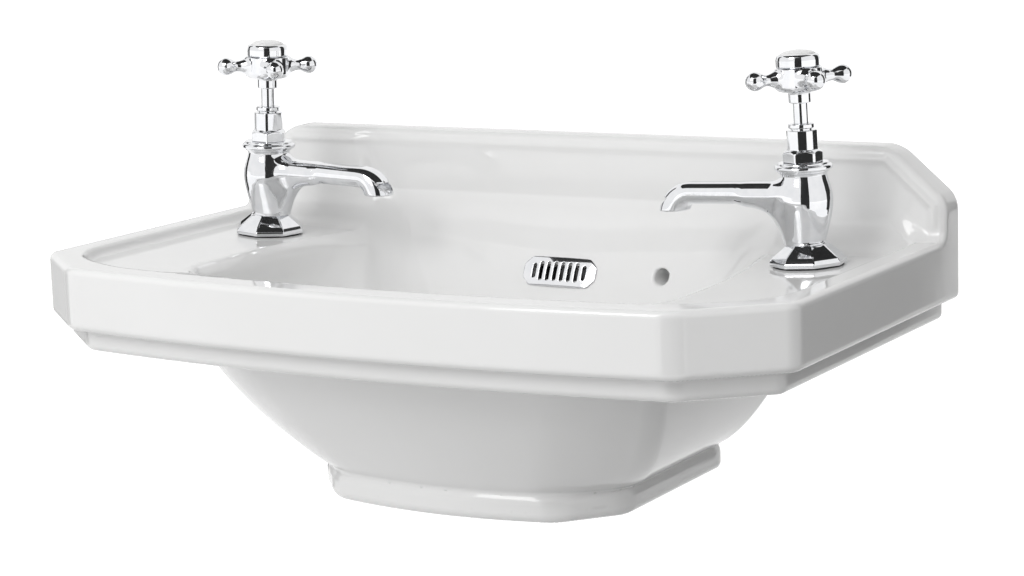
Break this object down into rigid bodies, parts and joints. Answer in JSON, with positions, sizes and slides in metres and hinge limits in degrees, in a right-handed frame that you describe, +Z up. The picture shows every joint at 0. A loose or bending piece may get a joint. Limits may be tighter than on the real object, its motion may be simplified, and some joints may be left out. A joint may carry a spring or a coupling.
{
  "type": "wall-hung wash basin with pillar taps",
  "caption": "White ceramic basin with an eight-sided bowl, recessed tap decks and an upstand, with crosshead pillar taps and a slotted overflow.",
  "frame": {"origin": "middle of the wall face, level with the top of the rim", "axes": "+X to the right as seen from the front, +Y to the wall, +Z up"},
  "size_m": [0.515, 0.3022, 0.2858],
  "materials": {
    "white_glaze": "gloss white glaze",
    "chrome": "mirror",
    "brass": "turned",
    "rubber": "matte black",
    "white_plastic": "moulded",
    "fibre": "pressed red fibre",
    "spring_steel": "drawn wire"
  },
  "bodies": {
    "root": {"basin": "white_glaze", "overflow_cover": "chrome", "overflow_sleeve": "white_plastic", "waste_body": "chrome", "waste_seal": "rubber", "waste_washer": "rubber", "waste_slip_ring": "white_plastic", "waste_back_nut": "brass", "plug_guide": "chrome", "plug_spring": "spring_steel", "hot_tap_body": "chrome", "hot_base_flange": "chrome", "hot_deck_gasket": "rubber", "hot_deck_washer": "white_plastic", "hot_back_nut": "brass", "hot_bonnet": "chrome", "hot_bonnet_seal": "fibre", "hot_gland_nut": "chrome", "hot_gland_packing": "rubber", "cold_tap_body": "chrome", "cold_base_flange": "chrome", "cold_deck_gasket": "rubber", "cold_deck_washer": "white_plastic", "cold_back_nut": "brass", "cold_bonnet": "chrome", "cold_bonnet_seal": "fibre", "cold_gland_nut": "chrome", "cold_gland_packing": "rubber"},
    "hot_valve": {"hot_jumper": "brass", "hot_valve_washer": "rubber", "hot_jumper_nut": "brass"},
    "hot_handle_set": {"hot_spindle": "chrome", "hot_handle": "chrome", "hot_handle_screw": "brass", "hot_index_ring": "chrome", "hot_index_disc": "white_glaze"},
    "cold_valve": {"cold_jumper": "brass", "cold_valve_washer": "rubber", "cold_jumper_nut": "brass"},
    "cold_handle_set": {"cold_spindle": "chrome", "cold_handle": "chrome", "cold_handle_screw": "brass", "cold_index_ring": "chrome", "cold_index_disc": "white_glaze"},
    "plug": {"plug_cap": "chrome", "plug_stem": "brass", "plug_ring": "rubber"}
  },
  "joints": [
    {"name": "hot_rise", "type": "slide", "parent": "root", "child": "hot_valve", "axis": [0.0407, 0, 0.9992], "range_m": [0, 0.00417]},
    {"name": "hot_turn", "type": "hinge", "parent": "hot_valve", "child": "hot_handle_set", "pos_m": [-0.1954, -0.0863, -0.0078], "axis": [0.0407, 0, 0.9992], "range_deg": [0, 600]},
    {"name": "cold_rise", "type": "slide", "parent": "root", "child": "cold_valve", "axis": [-0.0407, 0, 0.9992], "range_m": [0, 0.00417]},
    {"name": "cold_turn", "type": "hinge", "parent": "cold_valve", "child": "cold_handle_set", "pos_m": [0.1954, -0.0863, -0.0078], "axis": [-0.0407, 0, 0.9992], "range_deg": [0, 600]},
    {"name": "plug_press", "type": "slide", "parent": "root", "child": "plug", "axis": [0, 0, -1], "range_m": [0, 0.007], "stiffness_N_per_m": 300, "springref_m": -0.008, "deforming": ["plug_spring"]}
  ],
  "couplings": [
    {"joint": "hot_turn", "follows": "hot_rise", "rad_per_m": 2513.3},
    {"joint": "cold_turn", "follows": "cold_rise", "rad_per_m": 2513.3}
  ]
}
